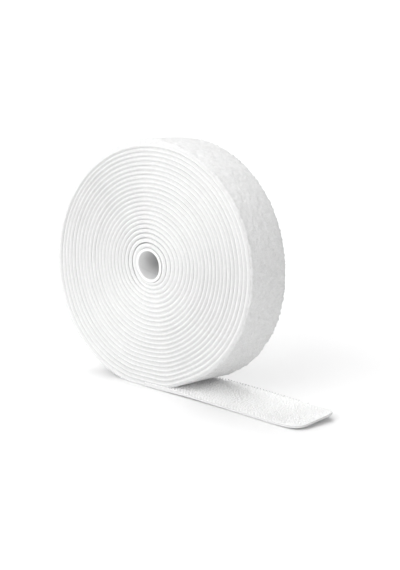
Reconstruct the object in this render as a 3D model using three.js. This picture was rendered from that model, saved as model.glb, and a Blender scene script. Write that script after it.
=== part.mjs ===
// Roll of back-to-back hook and loop tape, standing on its rim with the free end laid flat.
// Millimetres, +Z up. The core's axis lies along Y. The origin is on the surface that the roll
// stands on, straight under the core's axis, in the middle of the tape's width. The free end
// leaves the bottom of the roll towards +X.
import * as THREE from 'three';

// ---- driving dimensions -------------------------------------------------------------------
const WIDTH = 25.4;            // tape width, along Y
const CORE_BORE_R = 5.7;       // hole through the core tube
const CORE_OUTER_R = 6.9;      // outside of the core tube
const LAPS = 23;               // laps of tape wound on the core
const LOOP_T = 0.88;           // loop ply: ground cloth and pressed pile
const HOOK_T = 0.88;           // hook ply: base and hooks
const BOND_GAP = 0.06;         // clearance where the two plies are bonded back to back
const LAP_GAP = 0.06;          // clearance between one lap's hooks and the next lap's pile
const PITCH = LOOP_T + BOND_GAP + HOOK_T + LAP_GAP;    // growth of the roll per lap
const CORE_GAP = 0.10;         // clearance round the core at the inner end of the tape
const CLIMB = 0.20;            // share of the first lap in which the tape climbs over its own inner end
const SETTLE = 3.5;            // laps over which that climb evens out to a plain spiral
const ROLL_R = CORE_OUTER_R + CORE_GAP + (LAPS + 1) * PITCH;   // 52.12, where the free end leaves
const OFF_CENTRE = 0.90;       // the laps lie looser under the core than over it, so it sits this high
const FREE_END_X = 81.4;       // end of the free end, measured from under the core's axis
const FACETS = 30;             // flat faces per lap
const HINGE_X = 5.4;           // first bend of the free end
const STRETCH = 10.65;         // length of one stretch of the free end
const STRETCHES = 7;
const STRETCH_GAP = 0.30;      // clearance between two stretches
const TIP_CORNER_R = 4.5;      // rounded corners at the end of the tape
const CORE_SIDES = 48;

// ---- derived ------------------------------------------------------------------------------
const STEP = 2 * Math.PI / FACETS;
const COS = Math.cos(STEP / 2);
const AXIS_Z = ROLL_R * COS;   // middle of the outer lap, whose lowest face lies flat on the surface

// height of the middle of a ring of this radius in the winding
function middleZ(r) {
  return AXIS_Z + OFF_CENTRE * (1 - r / ROLL_R);
}

// depth below the outer face of the tape, measured along the radius
const LOOP_OUTER = 0;
const LOOP_INNER = LOOP_T;
const HOOK_OUTER = LOOP_T + BOND_GAP;
const HOOK_INNER = HOOK_OUTER + HOOK_T;

// ---- materials ----------------------------------------------------------------------------
const coreMaterial = new THREE.MeshStandardMaterial({ color: 0xf6f6f5, roughness: 0.45, metalness: 0 });
const loopMaterial = new THREE.MeshStandardMaterial({ color: 0xf0f0f0, roughness: 0.95, metalness: 0 });
const hookMaterial = new THREE.MeshStandardMaterial({ color: 0xf4f4f3, roughness: 0.70, metalness: 0 });

const group = new THREE.Group();
function add(name, geometry, material) {
  const mesh = new THREE.Mesh(geometry, material);
  mesh.name = name;
  group.add(mesh);
  return mesh;
}

// How far a lap has grown, from 0 at its start to 1 at its end. The first lap hugs the core and
// then climbs over the tape's inner end; further out the growth becomes even.
function growth(lapFromCore, share) {
  const t = Math.max(0, (share - (1 - CLIMB)) / CLIMB);
  const climb = t * t * (3 - 2 * t);
  return share + (climb - share) * Math.exp(-lapFromCore / SETTLE);
}

// A point of the winding: corner k counted from the bottom of the outer lap, going inwards,
// at a depth below the tape's outer face. The radius shrinks by one pitch over each lap and is
// level across the lowest face, so all laps lie flat on each other there.
function windingPoint(k, depth) {
  const lap = Math.floor(k / FACETS);
  const part = Math.min(k - lap * FACETS, FACETS - 1) / (FACETS - 1);
  const lapFromCore = LAPS - 1 - lap;
  const grown = lapFromCore < 0 ? 0 : lapFromCore + growth(lapFromCore, 1 - part);
  const r = ROLL_R - PITCH * (LAPS - grown) - depth;
  const a = STEP * (k + 0.5);
  return new THREE.Vector2(-r * Math.sin(a), middleZ(r) - r * Math.cos(a));
}

// One ply of the wound tape with the first fixed run of the free end, as a closed outline in XZ.
function woundPly(outerDepth, innerDepth) {
  const corners = LAPS * FACETS;
  const endX = HINGE_X - STRETCH_GAP / 2;
  const points = [];
  points.push(new THREE.Vector2(endX, windingPoint(0, outerDepth).y));
  for (let k = 0; k <= corners; k++) points.push(windingPoint(k, outerDepth));
  for (let k = corners; k >= 0; k--) points.push(windingPoint(k, innerDepth));
  points.push(new THREE.Vector2(endX, windingPoint(0, innerDepth).y));
  const geometry = new THREE.ExtrudeGeometry(new THREE.Shape(points), {
    depth: WIDTH, steps: 1, bevelEnabled: false, curveSegments: 1,
  });
  geometry.rotateX(Math.PI / 2);
  geometry.translate(0, WIDTH / 2, 0);
  return geometry;
}

// One flat stretch of a ply of the free end. The last one has rounded corners.
function stretch(index, lowZ, highZ) {
  const x0 = HINGE_X + index * STRETCH + STRETCH_GAP / 2;
  const last = index === STRETCHES - 1;
  const x1 = last ? FREE_END_X : HINGE_X + (index + 1) * STRETCH - STRETCH_GAP / 2;
  const w = WIDTH / 2;
  const shape = new THREE.Shape();
  shape.moveTo(x0, -w);
  if (last) {
    const r = TIP_CORNER_R;
    shape.lineTo(x1 - r, -w);
    shape.absarc(x1 - r, -w + r, r, -Math.PI / 2, 0, false);
    shape.absarc(x1 - r, w - r, r, 0, Math.PI / 2, false);
  } else {
    shape.lineTo(x1, -w);
    shape.lineTo(x1, w);
  }
  shape.lineTo(x0, w);
  shape.closePath();
  const geometry = new THREE.ExtrudeGeometry(shape, {
    depth: highZ - lowZ, steps: 1, bevelEnabled: false, curveSegments: 8,
  });
  geometry.translate(0, 0, lowZ);
  return geometry;
}

// ---- core tube ----------------------------------------------------------------------------
const half = WIDTH / 2;
const core = add('core_tube', new THREE.LatheGeometry([
  new THREE.Vector2(CORE_BORE_R, -half),
  new THREE.Vector2(CORE_OUTER_R, -half),
  new THREE.Vector2(CORE_OUTER_R, half),
  new THREE.Vector2(CORE_BORE_R, half),
  new THREE.Vector2(CORE_BORE_R, -half),
], CORE_SIDES), coreMaterial);
core.position.set(0, 0, middleZ(CORE_OUTER_R + CORE_GAP));

// ---- wound tape ---------------------------------------------------------------------------
add('loop_ply_wound', woundPly(LOOP_OUTER, LOOP_INNER), loopMaterial);
add('hook_ply_wound', woundPly(HOOK_OUTER, HOOK_INNER), hookMaterial);

// ---- free end -----------------------------------------------------------------------------
for (let i = 0; i < STRETCHES; i++) {
  add('loop_ply_free_end_' + (i + 1), stretch(i, windingPoint(0, LOOP_OUTER).y, windingPoint(0, LOOP_INNER).y), loopMaterial);
  add('hook_ply_free_end_' + (i + 1), stretch(i, windingPoint(0, HOOK_OUTER).y, windingPoint(0, HOOK_INNER).y), hookMaterial);
}

export default group;
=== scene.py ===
import math

import bpy
import numpy as np
from mathutils import Matrix, Vector


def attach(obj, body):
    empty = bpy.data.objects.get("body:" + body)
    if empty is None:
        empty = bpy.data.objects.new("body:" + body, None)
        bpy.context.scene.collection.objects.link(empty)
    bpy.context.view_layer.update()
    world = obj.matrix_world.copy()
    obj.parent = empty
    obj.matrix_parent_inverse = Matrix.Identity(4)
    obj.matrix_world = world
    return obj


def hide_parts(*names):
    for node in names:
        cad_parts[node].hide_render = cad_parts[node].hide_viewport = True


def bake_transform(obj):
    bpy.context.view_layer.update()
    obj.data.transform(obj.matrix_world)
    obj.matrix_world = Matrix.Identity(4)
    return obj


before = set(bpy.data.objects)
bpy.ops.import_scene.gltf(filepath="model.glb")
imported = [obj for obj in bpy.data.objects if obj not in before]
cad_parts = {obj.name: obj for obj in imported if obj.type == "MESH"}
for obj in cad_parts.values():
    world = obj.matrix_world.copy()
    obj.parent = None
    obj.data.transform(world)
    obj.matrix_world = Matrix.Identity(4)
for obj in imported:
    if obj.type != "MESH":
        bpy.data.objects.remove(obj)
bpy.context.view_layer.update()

# ---------------------------------------------------------------------------------------------
# Sizes of the roll, in millimetres, the same as the CAD source's
# ---------------------------------------------------------------------------------------------
WIDTH = 25.4
CORE_BORE_R = 5.7
CORE_OUTER_R = 6.9
LAPS = 23
PITCH = 1.88
OFF_CENTRE = 0.90
CORE_GAP = 0.10
CLIMB = 0.20
SETTLE = 3.5
ROLL_R = CORE_OUTER_R + CORE_GAP + (LAPS + 1) * PITCH
FREE_END_X = 81.4
HINGE_X = 5.4
STRETCH = 10.65
STRETCHES = 7
TIP_CORNER_R = 5.2
AXIS_Z = ROLL_R * math.cos(math.pi / 30)
TAU = 2 * math.pi
HALF = WIDTH / 2
SAG = 0.30


def middle_z(r):
    return AXIS_Z + OFF_CENTRE * (1 - r / ROLL_R)


CORE_Z = middle_z(CORE_OUTER_R + CORE_GAP)

# ---------------------------------------------------------------------------------------------
# Camera: the photograph's viewing angle
# ---------------------------------------------------------------------------------------------
CAM_AZ, CAM_EL, CAM_ROLL = 36.652, 12.742, 3.332
CAM_DIST, CAM_LENS = 525.21, 81.96
CAM_TARGET = (26.747, -HALF, 49.123)


def make_camera():
    a, e, r = (math.radians(v) for v in (CAM_AZ, CAM_EL, CAM_ROLL))
    back = Vector((math.sin(a) * math.cos(e), -math.cos(a) * math.cos(e), math.sin(e)))
    right = Vector((math.cos(a), math.sin(a), 0))
    up = back.cross(right)
    right2 = math.cos(r) * right + math.sin(r) * up
    up2 = -math.sin(r) * right + math.cos(r) * up
    data = bpy.data.cameras.new("camera")
    data.sensor_width = 36
    data.lens = CAM_LENS
    data.clip_start, data.clip_end = 0.01, 50
    cam = bpy.data.objects.new("camera", data)
    bpy.context.scene.collection.objects.link(cam)
    place_at = (Vector(CAM_TARGET) + back * CAM_DIST) * 0.001
    m = Matrix((right2, up2, back)).transposed().to_4x4()
    m.translation = place_at
    cam.matrix_world = m
    bpy.context.scene.camera = cam


make_camera()


# ---------------------------------------------------------------------------------------------
# Small tools
# ---------------------------------------------------------------------------------------------
def smooth(t):
    t = np.clip(t, 0, 1)
    return t * t * (3 - 2 * t)


def hashed(i, j, seed):
    v = np.sin(i * 127.1 + j * 311.7 + seed * 74.7) * 43758.5453
    return v - np.floor(v)


def noise2(a, b, seed):
    """Smooth value noise from 0 to 1 over a plane whose cells are one unit across."""
    i, j = np.floor(a), np.floor(b)
    u, v = smooth(a - i), smooth(b - j)
    n00, n10 = hashed(i, j, seed), hashed(i + 1, j, seed)
    n01, n11 = hashed(i, j + 1, seed), hashed(i + 1, j + 1, seed)
    return (n00 * (1 - u) + n10 * u) * (1 - v) + (n01 * (1 - u) + n11 * u) * v


def make_mesh(name, verts_mm, quads=None, tris=None, uv_mm=None, painted_shade_and_tone=None, sharp=50):
    """A mesh object from arrays, in metres, with its texture plane laid along the tape."""
    verts = np.asarray(verts_mm, float) * 0.001
    quads = np.zeros((0, 4), int) if quads is None else np.asarray(quads, int)
    tris = np.zeros((0, 3), int) if tris is None else np.asarray(tris, int)
    loops = np.concatenate([quads.ravel(), tris.ravel()]).astype(np.int32)
    sizes = np.concatenate([np.full(len(quads), 4), np.full(len(tris), 3)]).astype(np.int32)
    starts = np.concatenate([[0], np.cumsum(sizes)[:-1]]).astype(np.int32)
    me = bpy.data.meshes.new(name)
    me.vertices.add(len(verts))
    me.vertices.foreach_set("co", verts.astype(np.float32).ravel())
    me.loops.add(len(loops))
    me.loops.foreach_set("vertex_index", loops)
    me.polygons.add(len(sizes))
    me.polygons.foreach_set("loop_start", starts)
    me.update(calc_edges=True)
    me.validate()
    if uv_mm is not None:
        layer = me.uv_layers.new(name="along_tape")
        uv = (np.asarray(uv_mm, float) * 0.001)[loops]
        layer.data.foreach_set("uv", uv.astype(np.float32).ravel())
    # A per-point value that darkens the colour: painted shade, and on the core tube's end a plain darker tone.
    if painted_shade_and_tone is not None:
        at = me.attributes.new("painted_shade_and_tone", "FLOAT", "POINT")
        at.data.foreach_set("value", np.asarray(painted_shade_and_tone, np.float32))
    me.polygons.foreach_set("use_smooth", np.ones(len(sizes), bool))
    if sharp:
        me.set_sharp_from_angle(angle=math.radians(sharp))
    o = bpy.data.objects.new(name, me)
    bpy.context.scene.collection.objects.link(o)
    return o


def outward(verts, quads, tris=None):
    """Turns all faces round if they face inwards."""
    v = np.asarray(verts, float)
    vol = 0.0
    for f in ([quads[:, [0, 1, 2]], quads[:, [0, 2, 3]]] if len(quads) else []):
        a, b, c = v[f[:, 0]], v[f[:, 1]], v[f[:, 2]]
        vol += float((a * np.cross(b, c)).sum())
    if tris is not None and len(tris):
        a, b, c = v[tris[:, 0]], v[tris[:, 1]], v[tris[:, 2]]
        vol += float((a * np.cross(b, c)).sum())
    if vol < 0:
        quads = quads[:, ::-1]
        tris = tris[:, ::-1] if tris is not None else None
    return quads, tris


# ---------------------------------------------------------------------------------------------
# The tape's path. q is the way along it: from 0 up it is the angle wound inwards from the bottom
# of the outer lap, in radians; below 0 it is the distance out along the free end, in mm.
# ---------------------------------------------------------------------------------------------
def growth(n, share):
    t = np.maximum(0, (share - (1 - CLIMB)) / CLIMB)
    climb = t * t * (3 - 2 * t)
    return share + (climb - share) * np.exp(-n / SETTLE)


def outer_radius(theta):
    turns = np.maximum(LAPS - theta / TAU, 0)
    n = np.floor(turns + 1e-12)
    return ROLL_R - PITCH * LAPS + PITCH * (n + growth(n, turns - n))


# How unevenly the roll is wound and how far its core is out of round: a smooth field of radial shifts
# in mm. A row for each harmonic of the direction (1, cos, sin, cos 2, sin 2, ...), a column for each
# term of the radius (four Chebyshev terms, and one that fades away from the core).
UNEVEN = np.array([
    [0.092, 0.007, 0.096, 0.005, -0.163],
    [-0.284, 0.558, -0.382, 0.242, 0.981],
    [0.416, -0.538, 0.232, -0.182, -1.431],
    [0.225, -0.430, 0.240, -0.019, -1.066],
    [0.036, 0.420, 0.146, -0.012, -0.084],
    [0.061, 0.030, -0.033, 0.023, -0.014],
    [0.022, -0.092, -0.110, -0.065, -0.041],
    [-0.114, 0.124, -0.146, 0.092, 0.465],
    [-0.037, -0.037, -0.060, 0.089, 0.168],
])


def uneven(r, f):
    u = np.clip(2 * (r - CORE_OUTER_R) / (ROLL_R - CORE_OUTER_R) - 1, -1, 1)
    cheb = (np.ones_like(u), u, 2 * u * u - 1, 4 * u**3 - 3 * u, np.exp(-np.maximum(r - CORE_OUTER_R, 0) / 4))
    out = 0
    for i, row in enumerate(UNEVEN):
        n = (i + 1) // 2
        wave_ = 1.0 if i == 0 else np.cos(n * f) if i % 2 else np.sin(n * f)
        out = out + wave_ * sum(c * t for c, t in zip(row, cheb))
    return out


BULGE = 2.05
DOME = 0.9


def fuller(r, f, y):
    """The outer laps stand out at the back, low on the free end's side, and in the middle of the width."""
    deg = np.degrees(f)
    back = 0.5 + 0.5 * y / HALF
    low = BULGE * smooth((10 - deg) / 55) * (1 - smooth((-deg - 57) / 25)) * smooth((170 - np.abs(deg)) / 20)
    top = 0.40 * np.exp(-(((deg - 76) / 24) ** 2))
    dome = DOME * (1 - np.minimum(np.abs(y) / HALF, 1) ** 2) * (1 - smooth((-deg - 35) / 30) * smooth((145 + deg) / 30))
    return back * (low + top) * smooth((r - 30) / 22) + dome * smooth((r - 16) / 36)


def warp(x, z, y):
    """Makes the laps a little uneven and fuller, then presses the roll flat where it stands."""
    dx, dz = x, z - CORE_Z
    r = np.hypot(dx, dz)
    f = np.arctan2(dz, dx)
    d = uneven(r, f) + fuller(r, f, y)
    k = 1 + d / np.maximum(r, 1)
    x, z = dx * k, CORE_Z + dz * k
    low = smooth((AXIS_Z - z) / AXIS_Z)
    z = z - SAG * low
    zo = AXIS_Z - SAG - np.sqrt(np.maximum(ROLL_R**2 - x**2, 0))
    z = z - 0.78 * np.exp(-(((x - 12.6) / 4.8) ** 2)) * np.exp(-np.maximum(z, 0) / 14) + 0.30 * np.exp(-(((x - 26) / 6) ** 2)) * np.exp(-np.maximum(z, 0) / 18)
    press = 0.5 * (-zo + np.sqrt(zo**2 + 0.03**2))
    z = z + np.where(z < AXIS_Z, press * np.exp(-np.maximum(z - zo, 0) / 12), 0)
    return x, z


FLAT_DROP = ROLL_R - AXIS_Z + SAG
SKIVE = CLIMB * TAU


def thinned(theta):
    """The tape's thickness beyond its inner end, where it is pressed out to nothing under the next lap."""
    return smooth(1 - (theta - LAPS * TAU) / SKIVE)


def tail_z(d):
    """Height of the tape's faces where it lies flat under the roll."""
    return d * (1 + OFF_CENTRE / ROLL_R) - FLAT_DROP * (1 - np.exp(-d / 12))


def held(x):
    """Near its root the free end is still hooked to the next lap, and its open layer stands full height."""
    return (0.49 + 0.31 * smooth((x - 3) / 6)) * (1 - smooth((x - 11) / 13))


def lift(x, y):
    """How far the free end stands off the surface: its back edge more than its front edge, most at the tip."""
    front = 0.34 * np.exp(-(((x - 26) / 14) ** 2)) * smooth((x - 4) / 12) + 0.50 * smooth((x - 70) / 11.4)
    back = smooth((x - 2) / 24) * (2.10 - 0.30 * smooth((x - 30) / 35)) + 0.55 * np.clip((x - 66) / 15.4, 0, 1) ** 2.5
    return front + (back - front) * (0.5 + 0.5 * np.clip(y / HALF, -1, 1)) ** 1.2


def swing(x):
    """The free end lies very slightly askew."""
    return -0.9 * smooth((x - 40) / 32)


def drawn_in(x, y):
    """The end is cut a little out of square and curls, so its front corner is drawn in most."""
    return -(1.15 - 1.10 * np.clip(y / HALF, -1, 1)) * smooth((x - 58) / (FREE_END_X - 58))


def sideways(theta):
    """How far a lap's edges stand to one side of the roll's middle."""
    s = 0.035 * np.sin(0.83 * theta + 0.4) + 0.022 * np.sin(2.31 * theta + 1.1) + 0.015 * np.sin(5.7 * theta)
    return s * smooth(theta / 1.5) * smooth((LAPS * TAU + SKIVE - theta) / 2)


def place(q, y, d):
    """Points in mm from the way along the tape, the way across it and the depth below its outer face."""
    q, y, d = np.broadcast_arrays(np.asarray(q, float), np.asarray(y, float), np.asarray(d, float))
    th = np.maximum(q, 0)
    r = CORE_OUTER_R + CORE_GAP + (outer_radius(th) - CORE_OUTER_R - CORE_GAP - d) * thinned(th)
    xw, zw = warp(-r * np.sin(th), middle_z(r) - r * np.cos(th), y)
    yw = y + sideways(th)
    xt = np.maximum(-q, 0)
    zt = tail_z(d + held(xt) * smooth((d - 0.95) / 0.32)) + lift(xt, y)
    wound = q >= 0
    p = np.stack([np.where(wound, xw, xt + drawn_in(xt, y)), np.where(wound, yw, y + swing(xt)), np.where(wound, zw, zt)], -1)
    p[..., 2] = np.maximum(p[..., 2], 0.0)
    return p


def along(q):
    """Length in mm from the free end's root, growing inwards."""
    th = np.maximum(q, 0)
    return np.where(q >= 0, ROLL_R * th - PITCH * th**2 / (2 * TAU), q)


# ---------------------------------------------------------------------------------------------
# A ply: one closed body swept along the tape. The profile lists (inset from the edge, depth),
# from the middle of the outer face round the edge to the middle of the inner face.
# ---------------------------------------------------------------------------------------------
def groove_painted_shade(q):
    """Painted shade in the grooves between the laps: set stronger or weaker round the roll, and fainter near the core.
    """
    deg = np.degrees(np.maximum(q, 0)) % 360
    by_way = np.interp(deg, [0, 45, 90, 135, 180, 225, 270, 315, 360], [0.58, 0.40, 0.66, 0.90, 0.42, 0.42, 0.90, 0.76, 0.62])
    near = 1 - smooth((outer_radius(np.maximum(q, 0)) - 12) / 22)
    return by_way * (1 - 0.66 * near) + 0.15 * near


def rim_painted_shade(q):
    """Painted shade on the rim's pile: brightest at the top, where the light falls, and darkest low on the free end's
    side.
    """
    return np.interp(np.degrees(q), [140, 185, 205, 225, 238, 250, 262, 290, 320, 355], [0.5, 0.30, 0.06, 0.0, 0.25, 0.55, 0.80, 0.92, 0.88, 0.6])


def tip_painted_shade(x, y):
    """Painted shade on the end of the tape, growing towards the tip and strongest at its lifted back corner."""
    return 0.28 * smooth((x - 50) / 24) + 0.24 * smooth((x - 56) / 20) * smooth((y + 3) / 9)


def back_row_painted_shade(x, y):
    """Painted shade on the hooks along the back edge, strongest near the roll, which shows as a row of dots."""
    return smooth((y - HALF + 0.85) / 0.25) * smooth((x - 8) / 6) * (0.95 - 0.50 * smooth((x - 30) / 40))


def sweep(name, q, profile, corner=None, bumps=None, groove_shade_from=0.0, sharp=50, mark=None):
    q = np.asarray(q, float)
    corner = np.zeros(len(q)) if corner is None else np.asarray(corner, float)
    prof = np.asarray(profile, float)
    m = len(prof)
    inset = np.concatenate([prof[:, 0], prof[::-1, 0]])[None, :]
    depth = np.concatenate([prof[:, 1], prof[::-1, 1]])[None, :]
    side = np.concatenate([np.ones(m), -np.ones(m)])[None, :]
    ca = corner[:, None]
    rc = TIP_CORNER_R
    Q = np.where(ca > 0, -(FREE_END_X - rc + (rc - inset) * np.sin(ca)), q[:, None])
    Y = side * np.where(ca > 0, HALF - rc + (rc - inset) * np.cos(ca), HALF - inset)
    D = np.broadcast_to(depth, Q.shape)
    S = along(Q)
    if bumps is not None:
        D = D - bumps(Q, S, Y, D)
    P = place(Q, Y, D).reshape(-1, 3)
    n, w = len(q), 2 * m
    base = (np.arange(n - 1) * w)[:, None]
    k = np.arange(w)[None, :]
    k2 = (k + 1) % w
    quads = np.stack([base + k, base + k2, base + w + k2, base + w + k], -1).reshape(-1, 4)
    j = np.arange(m - 1)
    first = np.stack([j + 1, j, w - 1 - j, w - 2 - j], -1)
    last = (n - 1) * w + first[:, ::-1]
    quads = np.concatenate([quads, first, last])
    quads, _ = outward(P, quads)
    if mark is None:
        # Painted shade in the grooves at the tape's edges, unless a mark gives another painted shade.
        painted_mask = smooth((inset - groove_shade_from) / (0.62 * GROOVE)) * groove_painted_shade(Q)
    else:
        painted_mask = mark(Q, Y, np.broadcast_to(inset, Q.shape))
    painted_mask = np.broadcast_to(painted_mask, Q.shape).ravel()
    uv = np.stack([S.ravel(), Y.ravel()], -1)
    return make_mesh(name, P, quads, uv_mm=uv, painted_shade_and_tone=painted_mask, sharp=sharp)


def tubes(name, q, y, d, radius, sides, out, closed_tip=True):
    """Many small bent threads. q, y and d are (threads, points) in the tape's own measures."""
    P = place(q, y, d)
    n, k, _ = P.shape
    T = np.gradient(P, axis=1)
    T /= np.maximum(np.linalg.norm(T, axis=2, keepdims=True), 1e-9)
    chord = P[:, -1] - P[:, 0]
    A = np.cross(chord + 1e-6, out)
    A /= np.maximum(np.linalg.norm(A, axis=1, keepdims=True), 1e-9)
    A = np.broadcast_to(A[:, None, :], P.shape)
    B = np.cross(T, A)
    B /= np.maximum(np.linalg.norm(B, axis=2, keepdims=True), 1e-9)
    ang = TAU * (np.arange(sides) + 0.5) / sides
    rad = np.broadcast_to(radius, (n, k))[:, :, None, None]
    V = P[:, :, None, :] + rad * (np.cos(ang)[None, None, :, None] * A[:, :, None, :] + np.sin(ang)[None, None, :, None] * B[:, :, None, :])
    V[..., 2] = np.maximum(V[..., 2], 0.0)
    V = V.reshape(-1, 3)
    thread = (np.arange(n) * k * sides)[:, None, None]
    ring = (np.arange(k - 1) * sides)[None, :, None]
    c = np.arange(sides)[None, None, :]
    c2 = (c + 1) % sides
    quads = np.stack([thread + ring + c, thread + ring + c2, thread + ring + sides + c2, thread + ring + sides + c], -1).reshape(-1, 4)
    caps = []
    for at, turn in ((0, True), ((k - 1) * sides, False)):
        f = thread[:, 0, 0][:, None] + at + np.arange(sides)[None, :]
        caps.append(f[:, ::-1] if turn else f)
    caps = np.concatenate(caps)
    tris = None
    if sides == 4:
        quads = np.concatenate([quads, caps])
    else:
        tris = np.concatenate([caps[:, [0, j, j + 1]] for j in range(1, sides - 1)])
    quads, tris = outward(V, quads, tris)
    S = np.repeat(along(q).reshape(-1), sides)
    Y = np.repeat(np.broadcast_to(y, (n, k)).reshape(-1), sides)
    # The threads carry painted shade at the tape's end and on the back row of hooks.
    return make_mesh(name, V, quads, tris, uv_mm=np.stack([S, Y], -1), painted_shade_and_tone=0.36 * tip_painted_shade(-S, Y) + back_row_painted_shade(-S, Y), sharp=0)


# ---------------------------------------------------------------------------------------------
# Materials
# ---------------------------------------------------------------------------------------------
def material(name, rough, sheen=0.0, sheen_rough=0.5, subsurface=0.0, specular=0.5):
    mat = bpy.data.materials.new(name)
    mat.use_nodes = True
    nt = mat.node_tree
    b = nt.nodes["Principled BSDF"]
    b.inputs["Roughness"].default_value = rough
    b.inputs["Sheen Weight"].default_value = sheen
    b.inputs["Sheen Roughness"].default_value = sheen_rough
    b.inputs["Specular IOR Level"].default_value = specular
    if subsurface:
        b.inputs["Subsurface Weight"].default_value = subsurface
        b.inputs["Subsurface Radius"].default_value = (0.6, 0.6, 0.6)
        b.inputs["Subsurface Scale"].default_value = 0.001
    return mat, nt, b


def node(nt, kind, **values):
    n = nt.nodes.new(kind)
    for k, v in values.items():
        if k in n.inputs:
            n.inputs[k].default_value = v
        else:
            setattr(n, k, v)
    return n


def tape_plane(nt):
    return node(nt, "ShaderNodeUVMap", uv_map="along_tape").outputs["UV"]


def scaled(nt, vector, x, y, turn=0.0):
    m = node(nt, "ShaderNodeMapping")
    m.inputs["Scale"].default_value = (x, y, 1)
    m.inputs["Rotation"].default_value = (0, 0, turn)
    nt.links.new(vector, m.inputs["Vector"])
    return m.outputs["Vector"]


def noise(nt, vector, scale, detail=2.0, rough=0.5):
    n = node(nt, "ShaderNodeTexNoise")
    n.inputs["Scale"].default_value = scale
    n.inputs["Detail"].default_value = detail
    n.inputs["Roughness"].default_value = rough
    nt.links.new(vector, n.inputs["Vector"])
    return n.outputs["Fac"]


def wave(nt, vector, direction, period_mm, distortion=0.0, detail_scale=1.0):
    n = node(nt, "ShaderNodeTexWave")
    n.wave_type = "BANDS"
    n.bands_direction = direction
    n.wave_profile = "SIN"
    n.inputs["Scale"].default_value = 0.31416 / (period_mm * 0.001)
    n.inputs["Distortion"].default_value = distortion
    n.inputs["Detail"].default_value = 1.0
    n.inputs["Detail Scale"].default_value = detail_scale
    nt.links.new(vector, n.inputs["Vector"])
    return n.outputs["Fac"]


def math_node(nt, op, a, b=None, c=None):
    n = node(nt, "ShaderNodeMath")
    n.operation = op
    for i, v in enumerate((a, b, c)):
        if v is None:
            continue
        if isinstance(v, (int, float)):
            n.inputs[i].default_value = v
        else:
            nt.links.new(v, n.inputs[i])
    return n.outputs[0]


def shade(nt, fac, low, high, tint=(1, 1, 1)):
    """A grey from low to high."""
    r = node(nt, "ShaderNodeValToRGB")
    r.color_ramp.elements[0].color = (low * tint[0], low * tint[1], low * tint[2], 1)
    r.color_ramp.elements[1].color = (high * tint[0], high * tint[1], high * tint[2], 1)
    nt.links.new(fac, r.inputs["Fac"])
    return r.outputs["Color"]


def times(nt, a, b):
    m = node(nt, "ShaderNodeMix")
    m.data_type = "RGBA"
    m.blend_type = "MULTIPLY"
    m.inputs["Factor"].default_value = 1.0
    nt.links.new(a, m.inputs["A"])
    nt.links.new(b, m.inputs["B"])
    return m.outputs["Result"]


def bump(nt, b, height, strength, distance_mm):
    n = node(nt, "ShaderNodeBump")
    n.inputs["Strength"].default_value = strength
    n.inputs["Distance"].default_value = distance_mm * 0.001
    nt.links.new(height, n.inputs["Height"])
    nt.links.new(n.outputs["Normal"], b.inputs["Normal"])


# Reads the per-point value of painted shade, which on the core tube's end also holds a darker tone.
def painted_shade_and_tone_of(nt):
    n = node(nt, "ShaderNodeAttribute")
    n.attribute_name = "painted_shade_and_tone"
    return n.outputs["Fac"]


WHITE = 0.86


def make_ground(name, painted_shade_low, white=WHITE):
    """Woven ground cloth with its selvedge: fine threads across and along the tape."""
    mat, nt, b = material(name, 0.78, sheen=0.15)
    uv = tape_plane(nt)
    across = wave(nt, uv, "X", 0.52, 1.2)
    run = wave(nt, uv, "Y", 0.60, 0.8)
    weave = math_node(nt, "MULTIPLY", across, run)
    soft = noise(nt, uv, 900, 4, 0.65)
    slow = noise(nt, uv, 26, 2)
    tone = times(nt, shade(nt, soft, white * 0.91, white * 1.07), shade(nt, slow, 0.95, 1.04))
    # Painted shade from the per-point value: in the grooves between laps, on the free end's sides and towards its tip.
    dark = shade(nt, painted_shade_and_tone_of(nt), 1.0, painted_shade_low)
    nt.links.new(times(nt, tone, dark), b.inputs["Base Color"])
    height = math_node(nt, "ADD", math_node(nt, "MULTIPLY", weave, 0.7), math_node(nt, "MULTIPLY", soft, 0.5))
    bump(nt, b, height, 0.55, 0.06)
    return mat


def make_pile(name):
    """Brushed loops: soft, mottled, no shine."""
    mat, nt, b = material(name, 0.95, sheen=0.25, sheen_rough=0.6, specular=0.25)
    uv = tape_plane(nt)
    blotch = noise(nt, uv, 420, 3, 0.6)
    fine = noise(nt, uv, 1900, 3, 0.7)
    mixed = math_node(nt, "ADD", math_node(nt, "MULTIPLY", blotch, 0.6), math_node(nt, "MULTIPLY", fine, 0.4))
    r = node(nt, "ShaderNodeMapRange")
    r.inputs["From Min"].default_value = 0.32
    r.inputs["From Max"].default_value = 0.68
    nt.links.new(mixed, r.inputs["Value"])
    tone = shade(nt, r.outputs["Result"], WHITE * 0.83, WHITE * 1.02)
    # Painted shade on the pile, most of it round the rim and towards the rim's front edge.
    nt.links.new(times(nt, tone, shade(nt, painted_shade_and_tone_of(nt), 1.0, 0.80)), b.inputs["Base Color"])
    bump(nt, b, mixed, 0.9, 0.20)
    return mat


def make_thread(name, rough, spec, low, high):
    """Single filaments: loops and hooks."""
    mat, nt, b = material(name, rough, sheen=0.1, specular=spec)
    uv = tape_plane(nt)
    n = noise(nt, uv, 2600, 2)
    # Painted shade on the threads: towards the tape's end and on the back row of hooks.
    nt.links.new(times(nt, shade(nt, n, WHITE * low, WHITE * high), shade(nt, painted_shade_and_tone_of(nt), 1.0, 0.30)), b.inputs["Base Color"])
    bump(nt, b, n, 0.25, 0.02)
    return mat


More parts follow.
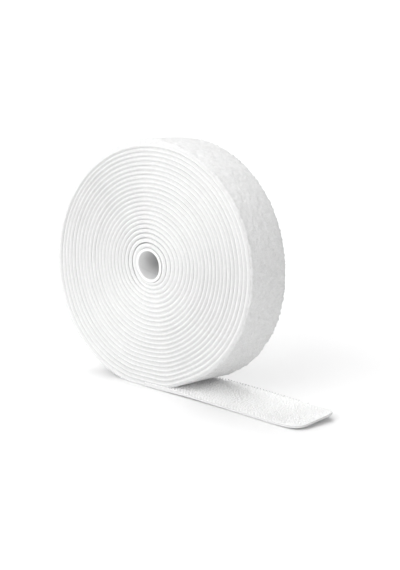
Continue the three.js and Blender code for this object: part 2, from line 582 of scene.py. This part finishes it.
def make_core_material():
    """Smooth spun tube with a faint wound seam."""
    mat, nt, b = material("core_tube_satin", 0.42, specular=0.5)
    uv = tape_plane(nt)
    seam = wave(nt, scaled(nt, uv, 1, 1, 0.6), "X", 9.0, 0.4)
    fine = noise(nt, uv, 1500, 3)
    line = math_node(nt, "POWER", seam, 24.0)
    # Painted shade in the bore, and a darker tone on the tube's end.
    tone = times(nt, shade(nt, fine, WHITE * 0.96, WHITE * 1.0), shade(nt, painted_shade_and_tone_of(nt), 1.0, 0.68))
    nt.links.new(times(nt, tone, shade(nt, line, 1.0, 0.95)), b.inputs["Base Color"])
    bump(nt, b, math_node(nt, "SUBTRACT", math_node(nt, "MULTIPLY", fine, 0.3), line), 0.25, 0.03)
    return mat


SIDE_WHITE = 0.716
M_LOOP_GROUND = make_ground("loop_ply_woven", 0.77, SIDE_WHITE)
M_HOOK_GROUND = make_ground("hook_ply_woven", 0.77, SIDE_WHITE)
M_PILE = make_pile("loop_pile")
M_LOOPS = make_thread("loop_threads", 0.75, 0.3, 0.92, 0.99)
M_HOOKS = make_thread("hook_threads", 0.45, 0.5, 1.12, 1.15)
M_HOOK_SIDE = make_ground("hook_ply_open_woven", 0.62, 0.965)
# A darker copy of the woven ground for the free end's lower ply, whose side faces the light: painted shade.
M_LOOP_FREE_SHADED = make_ground("loop_ply_free_woven_painted_shade", 0.95, 0.68)
M_CORE = make_core_material()


def finish_piece(o, mat):
    o.data.materials.append(mat)
    return o


# ---------------------------------------------------------------------------------------------
# Core tube
# ---------------------------------------------------------------------------------------------
def make_core():
    a, b, h, c = CORE_BORE_R, CORE_OUTER_R, HALF, 0.16
    ring = []
    for t in np.linspace(0, 1, 5):
        w = math.pi / 2 * t
        ring.append((b - c + c * math.cos(w), h - c + c * math.sin(w)))
    for t in np.linspace(0, 1, 5):
        w = math.pi / 2 * t
        ring.append((a + 0.30 - 0.30 * math.sin(w), h - c + c * math.cos(w)))
    inner = [(a, y) for y in np.linspace(h - c, -h + c, 22)[1:-1]]
    other = [(r, -y) for r, y in ring[::-1]]
    outer = [(b, y) for y in np.linspace(-h + c, h - c, 12)[1:-1]]
    prof = np.array(ring + inner + other + outer)
    n, w = 120, len(prof)
    t = TAU * np.arange(n) / n
    x = prof[None, :, 0] * np.cos(t)[:, None]
    z = CORE_Z + prof[None, :, 0] * np.sin(t)[:, None]
    y = np.broadcast_to(prof[None, :, 1], x.shape)
    x, z = warp(x, z, y)
    P = np.stack([x, y, z], -1).reshape(-1, 3)
    i = np.arange(n)[:, None]
    k = np.arange(w)[None, :]
    quads = np.stack([i * w + k, i * w + (k + 1) % w, ((i + 1) % n) * w + (k + 1) % w, ((i + 1) % n) * w + k], -1).reshape(-1, 4)
    quads, _ = outward(P, quads)
    u = np.broadcast_to((t * a)[:, None], x.shape).ravel()
    # Painted shade deeper in the bore, lighter along its bottom, and a plain darker tone on the tube's end and outside.
    bore_painted_shade_and_end_tone = np.where(prof[:, 0] < a + 0.01, smooth((h - np.abs(prof[:, 1])) / 15), 0)
    end_face = np.where(prof[:, 0] > a + 0.01, 0.42, 0)
    bore_painted_shade_and_end_tone = (bore_painted_shade_and_end_tone[None, :] * (1 - 0.75 * smooth((-0.1 - np.sin(t)) / 0.8))[:, None] + end_face[None, :]).ravel()
    o = make_mesh("core_tube_turned", P, quads, uv_mm=np.stack([u, y.ravel()], -1), painted_shade_and_tone=bore_painted_shade_and_end_tone, sharp=50)
    finish_piece(o, M_CORE)
    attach(o, "roll")
    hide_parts("core_tube")
    return o


core = make_core()

# ---------------------------------------------------------------------------------------------
# The two plies. Each has a woven ground that reaches the tape's edges, and pile or hooks that
# stop short of them, so the wound side shows a bright line and a groove for each lap.
# ---------------------------------------------------------------------------------------------
GROOVE = 0.46
EDGE_LINE = 0.90


def edge_inset(d):
    """The tape's edge, cut across: a narrow ridge at mid thickness, falling back to a groove at each face."""
    t = np.clip(np.abs(d - EDGE_LINE) / 0.94, 0, 1)
    return GROOVE * math.sin(math.pi / 2 * t) ** 1.35 + 0.06 * t**8


LOOP_PROFILE = [(1.30, 0.02), (0.75, 0.02)] + [(edge_inset(d), d) for d in (0.03, 0.14, 0.28, 0.42, 0.54, 0.64, 0.73, 0.80, 0.85)]
LOOP_PROFILE += [(0.02, 0.875), (0.30, 0.885), (1.30, 0.885)]
HOOK_PROFILE = [(1.30, 0.905), (0.30, 0.905), (0.02, 0.915)] + [(edge_inset(d), d) for d in (0.95, 1.00, 1.07, 1.16, 1.26, 1.38, 1.52, 1.66, 1.77)]
HOOK_PROFILE += [(0.75, 1.79), (1.30, 1.79)]
LOOP_FREE_PROFILE = [(1.30, 0.02), (1.12, 0.02), (0.98, 0.06), (0.90, 0.16), (0.88, 0.34), (0.34, 0.37), (0.14, 0.41), (0.04, 0.50)]
LOOP_FREE_PROFILE += [(0.0, 0.62), (0.0, 0.76), (0.03, 0.875), (0.30, 0.885), (1.30, 0.885)]
HOOK_BARE_PROFILE = [p for p in HOOK_PROFILE if p[1] < 1.25] + [(0.20, 1.27), (0.40, 1.30), (1.0, 1.30), (1.30, 1.30)]


def wound_stations():
    q, t = [], LAPS * TAU + 0.86 * SKIVE
    while t > 0.012:
        q.append(t)
        r = float(outer_radius(np.array(t)))
        t -= math.radians(2.0 if r > 30 else 2.6 if r > 17 else 3.6 if t < LAPS * TAU else 4.5)
    return np.array(q + [0.0, -(HINGE_X - STRETCH / 2)])


stations = wound_stations()
loop_wound = finish_piece(sweep("loop_ply_wound_tape", stations, LOOP_PROFILE), M_LOOP_GROUND)
hook_wound = finish_piece(sweep("hook_ply_wound_tape", stations, HOOK_PROFILE), M_HOOK_GROUND)
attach(loop_wound, "roll")
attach(hook_wound, "roll")
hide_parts("loop_ply_wound")
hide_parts("hook_ply_wound")


# ---------------------------------------------------------------------------------------------
# The pile on the rim: a tufted mat with separate loops standing out of it
# ---------------------------------------------------------------------------------------------
def fluff(q, y):
    """The uncovered pile stands up most along the front edge, on the left and at the top."""
    deg = np.degrees(q)
    i = HALF + y
    return 0.90 * smooth((deg - 25) / 50) * (1 - smooth((deg - 168) / 38)) * smooth((i - 0.40) / 0.45) * (1 - smooth((i - 4) / 5))


def tufts(Q, S, Y, D):
    top = D < 0.25
    h = (
        0.10 * noise2(S / 1.9, Y / 1.9, 3)
        + 0.30 * noise2(S / 0.92, Y / 0.92, 5)
        + 0.16 * noise2(S / 0.58 + 7, Y / 0.58, 9)
        - 0.28
    )
    calm = smooth((TAU - Q) / 0.2) * smooth(Q / 0.12)
    h = h + 0.95 * (noise2(S / 0.62, Y / 3.0, 13) - 0.5) * smooth((Y - HALF + 3.5) / 2.5)
    return np.where(top, h * (0.35 + 0.65 * calm) + fluff(Q, Y), 0)


def mat_depth(i):
    return -0.48 + 0.62 * np.exp(-(((i - 0.42) / 0.50) ** 2))


mat_insets = np.concatenate([np.arange(HALF - 0.05, 2.0, -0.36), [1.75, 1.5, 1.25, 1.05, 0.87, 0.71, 0.58, 0.49]])
MAT_PROFILE = [(i, mat_depth(i)) for i in mat_insets] + [(0.44, 0.43), (HALF - 0.05, 0.40)]
# The rim's pile carries painted shade round the roll and towards its front edge.
rim = finish_piece(
    sweep("loop_pile_rim", np.linspace(0.0, TAU - 0.004, 930), MAT_PROFILE, bumps=tufts, mark=lambda q, y, inset: rim_painted_shade(q) + 0.60 * (1 - smooth((inset - 0.6) / 2.8)), sharp=0), M_PILE
)
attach(rim, "roll")


def loop_threads(q0, y0, along_mm, seed, base, top, count_k=5):
    """Small arches of thread standing on the ground at q0, y0, with along_mm as dq per mm."""
    rng = np.random.default_rng(seed)
    n = len(q0)
    turn = rng.uniform(0, TAU, n)
    span = rng.uniform(0.34, 0.70, n)
    tall = rng.uniform(0.55, 1.0, n)
    lean = rng.uniform(-0.16, 0.16, (n, 2))
    t = np.linspace(0, 1, count_k)[None, :]
    arch = np.sin(math.pi * t)
    flat = (t - 0.5) * span[:, None]
    a = flat * np.cos(turn)[:, None] + lean[:, :1] * arch
    c = flat * np.sin(turn)[:, None] + lean[:, 1:] * arch
    q = q0[:, None] + a * along_mm[:, None]
    y = np.clip(y0[:, None] + c, -HALF + 0.66, HALF - 0.66)
    base = np.broadcast_to(base, n)[:, None]
    d = base + (np.broadcast_to(top, n)[:, None] - base) * arch * tall[:, None]
    return q, y, d


def rim_loops():
    rng = np.random.default_rng(11)
    step = 0.80
    rows = int(TAU * ROLL_R / step)
    cols = int((WIDTH - 1.5) / step)
    i, j = np.meshgrid(np.arange(rows), np.arange(cols), indexing="ij")
    q = (i + rng.uniform(0.05, 0.95, i.shape)) / rows * (TAU - 0.09) + 0.05
    y = (j + rng.uniform(0.05, 0.95, j.shape)) / cols * (WIDTH - 1.7) - (WIDTH - 1.7) / 2
    q, y = q.ravel(), y.ravel()
    base = mat_depth(HALF - np.abs(y)) - fluff(q, y)
    order = np.argsort(q)
    q, y, base = q[order], y[order], base[order]
    made = []
    cut = len(q) // 2
    for k, (a, b) in enumerate(((0, cut), (cut, len(q)))):
        Q, Y, D = loop_threads(q[a:b], y[a:b], np.full(b - a, 1 / ROLL_R), 21 + k, base[a:b] + 0.12, base[a:b] - 0.26)
        out = np.stack([-np.sin(q[a:b]), np.zeros(b - a), -np.cos(q[a:b])], -1)
        o = tubes(f"loop_threads_rim_{k + 1}", Q, Y, D, 0.042, 3, out)
        finish_piece(o, M_LOOPS)
        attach(o, "roll")
        made.append(o)
    return made


rim_threads = rim_loops()

# ---------------------------------------------------------------------------------------------
# The free end, in stretches, each centred on a hinge, that meet halfway between hinges
# ---------------------------------------------------------------------------------------------
floor_name = "floor"


# Painted shade on the side faces of the free end's hook ply, and towards its tip.
def free_side_painted_shade(q, y, inset):
    return np.maximum(smooth((0.34 - inset) / 0.20), 0.66 * tip_painted_shade(-q, y))


HOOKS_PER_STRETCH = 7
HOOK_PITCH_X, HOOK_PITCH_Y = STRETCH / HOOKS_PER_STRETCH, 1.02
HOOK_GROUND = 1.30


def hook_rows(k, x0, x1):
    """Rows of small bent hooks on the upper side of the free end, out to its very edges."""
    px, py = HOOK_PITCH_X, HOOK_PITCH_Y
    rows = int((x1 - x0) / px + 0.01)
    i, j = np.meshgrid(np.arange(rows), np.arange(-12, 13), indexing="ij")
    phase = np.where(np.abs(j) > 9, 0.25 + 0.5 * (j % 2), 0.1 + 0.8 * hashed(j, 0 * j, 8))
    x = (x0 + (i + phase) * px).ravel().astype(float)
    y = (j * py).ravel().astype(float)
    i = i + HOOKS_PER_STRETCH * k
    loose = 0.10 + 0.62 * smooth((HALF - 1.6 - np.abs(y)) / 1.5)
    x += loose * (hashed(i, j, 1).ravel() - 0.5)
    y += loose * (hashed(i, j, 2).ravel() - 0.5)
    x = np.clip(x, x0 + 0.26, x1 - 0.26)
    keep = np.abs(y) < HALF - 0.30
    if k == STRETCHES:
        rc = TIP_CORNER_R
        cx = np.maximum(x - (FREE_END_X - rc), 0)
        cy = np.maximum(np.abs(y) - (HALF - rc), 0)
        keep &= np.hypot(cx, cy) < rc - 0.5
    x, y = x[keep], y[keep]
    ii = np.broadcast_to(i, i.shape).ravel()[keep]
    way = np.where(hashed(ii, np.round(y / py), 3) > 0.5, 1.0, -1.0)
    n = len(x)
    turn = np.where(way > 0, 0.0, math.pi) + (hashed(x, y, 4) - 0.5) * 0.9
    up = np.array([-0.02, 0.22, 0.42, 0.58, 0.62, 0.54, 0.38])[None, :] * (0.88 + 0.16 * hashed(x, y, 6)[:, None])
    up = up * (1 - 0.38 * smooth((HALF - 1.2 - np.abs(y)) / 2.5) * (1 - smooth((x - 44) / 20)))[:, None]
    over = np.array([0.0, -0.01, 0.02, 0.13, 0.29, 0.41, 0.45])[None, :] - 0.20
    q = -(x[:, None] + over * np.cos(turn)[:, None])
    yy = y[:, None] + over * np.sin(turn)[:, None]
    d = HOOK_GROUND + up
    rad = np.broadcast_to(np.array([0.14, 0.11, 0.105, 0.105, 0.10, 0.095, 0.07])[None, :], (n, 7))
    out = np.broadcast_to(np.array([0.0, 0.0, 1.0]), (n, 3))
    return tubes(f"hooks_free_end_{k}", q, yy, d, rad, 5, out)


def under_loops(k, x0, x1):
    """The loops on the lower side of the free end."""
    rng = np.random.default_rng(100 + k)
    step = 0.85
    rows = max(1, int((x1 - x0) / step))
    cols = int((WIDTH - 1.7) / step)
    i, j = np.meshgrid(np.arange(rows), np.arange(cols), indexing="ij")
    x = (x0 + (i + rng.uniform(0.1, 0.9, i.shape)) / rows * (x1 - x0)).ravel()
    y = ((j + rng.uniform(0.05, 0.95, j.shape)) / cols * (WIDTH - 1.8) - (WIDTH - 1.8) / 2).ravel()
    keep = (x > x0 + 0.35) & (x < x1 - 0.35)
    if k == STRETCHES:
        rc = TIP_CORNER_R
        cx = np.maximum(x - (FREE_END_X - rc), 0)
        cy = np.maximum(np.abs(y) - (HALF - rc), 0)
        keep &= np.hypot(cx, cy) < rc - 1.0
    x, y = x[keep], y[keep]
    Q, Y, D = loop_threads(-x, y, -np.ones(len(x)), 200 + k, 0.10, -0.06)
    out = np.broadcast_to(np.array([0.0, 0.0, -1.0]), (len(x), 3))
    return tubes(f"loop_threads_free_end_{k}", Q, Y, D, 0.042, 3, out)


def pile_below(o):
    """Gives the under side of a swept loop ply the look of the pile."""
    w, n = 2 * len(LOOP_FREE_PROFILE), len(o.data.polygons)
    k = np.arange(n)
    body = k < n - 2 * (len(LOOP_FREE_PROFILE) - 1)
    o.data.materials.append(M_PILE)
    o.data.polygons.foreach_set("material_index", (body & ((k % w < 3) | (k % w > w - 5))).astype(np.int32))


for k in range(1, STRETCHES + 1):
    hinge = HINGE_X + (k - 1) * STRETCH
    x0 = hinge - STRETCH / 2
    x1 = hinge + STRETCH / 2 if k < STRETCHES else FREE_END_X
    if k < STRETCHES:
        q = -np.linspace(x0, x1, 14)
        corner = np.zeros(len(q))
    else:
        flat = -np.linspace(x0, FREE_END_X - TIP_CORNER_R, 16)
        bend = np.linspace(0, math.pi / 2, 15)[1:]
        q = np.concatenate([flat, np.full(len(bend), flat[-1])])
        corner = np.concatenate([np.zeros(len(flat)), bend])
    loop = finish_piece(sweep(f"loop_ply_free_tape_{k}", q, LOOP_FREE_PROFILE, corner), M_LOOP_FREE_SHADED)
    pile_below(loop)
    hook = finish_piece(sweep(f"hook_ply_free_tape_{k}", q, HOOK_BARE_PROFILE, corner, mark=free_side_painted_shade), M_HOOK_SIDE)
    hooks = finish_piece(hook_rows(k, x0, x1), M_HOOKS)
    under = finish_piece(under_loops(k, x0, x1), M_LOOPS)
    for o in (loop, hook, hooks, under):
        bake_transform(o)
    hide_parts(f"loop_ply_free_end_{k}")
    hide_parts(f"hook_ply_free_end_{k}")


# ---------------------------------------------------------------------------------------------
# Floor and light
# ---------------------------------------------------------------------------------------------
def make_floor():
    """A wide flat floor that rises a little far away, so that no edge of it is seen."""
    n = 96
    radii = np.array([0.4, 1.2, 2.4] + [2.4 + 1.4 * t for t in np.linspace(0.05, 1, 20)])
    up = -0.00003 + 0.34 * np.clip((radii - 2.4) / 1.4, 0, 1) ** 2
    t = TAU * np.arange(n) / n
    verts = [(0.0, 0.0, -0.00003)] + [(r * math.cos(a), r * math.sin(a), z) for r, z in zip(radii, up) for a in t]
    faces = [(0, 1 + i, 1 + (i + 1) % n) for i in range(n)]
    for k in range(len(radii) - 1):
        a, b = 1 + k * n, 1 + (k + 1) * n
        faces += [(a + i, b + i, b + (i + 1) % n, a + (i + 1) % n) for i in range(n)]
    me = bpy.data.meshes.new(floor_name)
    me.from_pydata(verts, [], faces)
    me.polygons.foreach_set("use_smooth", np.ones(len(faces), bool))
    o = bpy.data.objects.new(floor_name, me)
    bpy.context.scene.collection.objects.link(o)
    mat, nt, b = material("floor_white", 0.9, specular=0.1)
    b.inputs["Base Color"].default_value = (0.93, 0.93, 0.93, 1)
    me.materials.append(mat)
    return o


floor = make_floor()

world = bpy.data.worlds.new("studio")
bpy.context.scene.world = world
world.use_nodes = True
world.node_tree.nodes["Background"].inputs["Color"].default_value = (1, 1, 1, 1)
world.node_tree.nodes["Background"].inputs["Strength"].default_value = 0.02


def sun(name, azimuth, elevation, strength, angle=36):
    """A wide soft light. Azimuth 0 is straight in front of the wound side, 90 is the free end's side."""
    a, e = math.radians(azimuth), math.radians(elevation)
    data = bpy.data.lights.new(name, "SUN")
    data.energy = strength
    data.angle = math.radians(angle)
    o = bpy.data.objects.new(name, data)
    o.rotation_mode = "QUATERNION"
    o.rotation_quaternion = Vector((math.sin(a) * math.cos(e), -math.cos(a) * math.cos(e), math.sin(e))).to_track_quat("Z", "Y")
    bpy.context.scene.collection.objects.link(o)
    return o


sun("front_left_low", -50, 12, 1.14)
sun("front_low", 0, 12, 0.98)
sun("right_low", 105, 12, 0.45)
sun("front_left", -25, 30, 0.50)
sun("front", 0, 30, 0.68)
sun("front_right", 50, 30, 0.54)
sun("right", 105, 30, 0.28)
sun("back_left_high", -110, 55, 1.36)
sun("back_high", -150, 55, 0.18)
sun("front_left_high", -25, 55, 0.24)
sun("left_high", -75, 55, 0.28)
sun("top_front", 0, 72, 0.13)
sun("top_back", 180, 72, 0.53)

scene = bpy.context.scene
scene.view_settings.view_transform = "Standard"
scene.view_settings.look = "None"
scene.view_settings.exposure = 0.0
scene.view_settings.gamma = 1.0
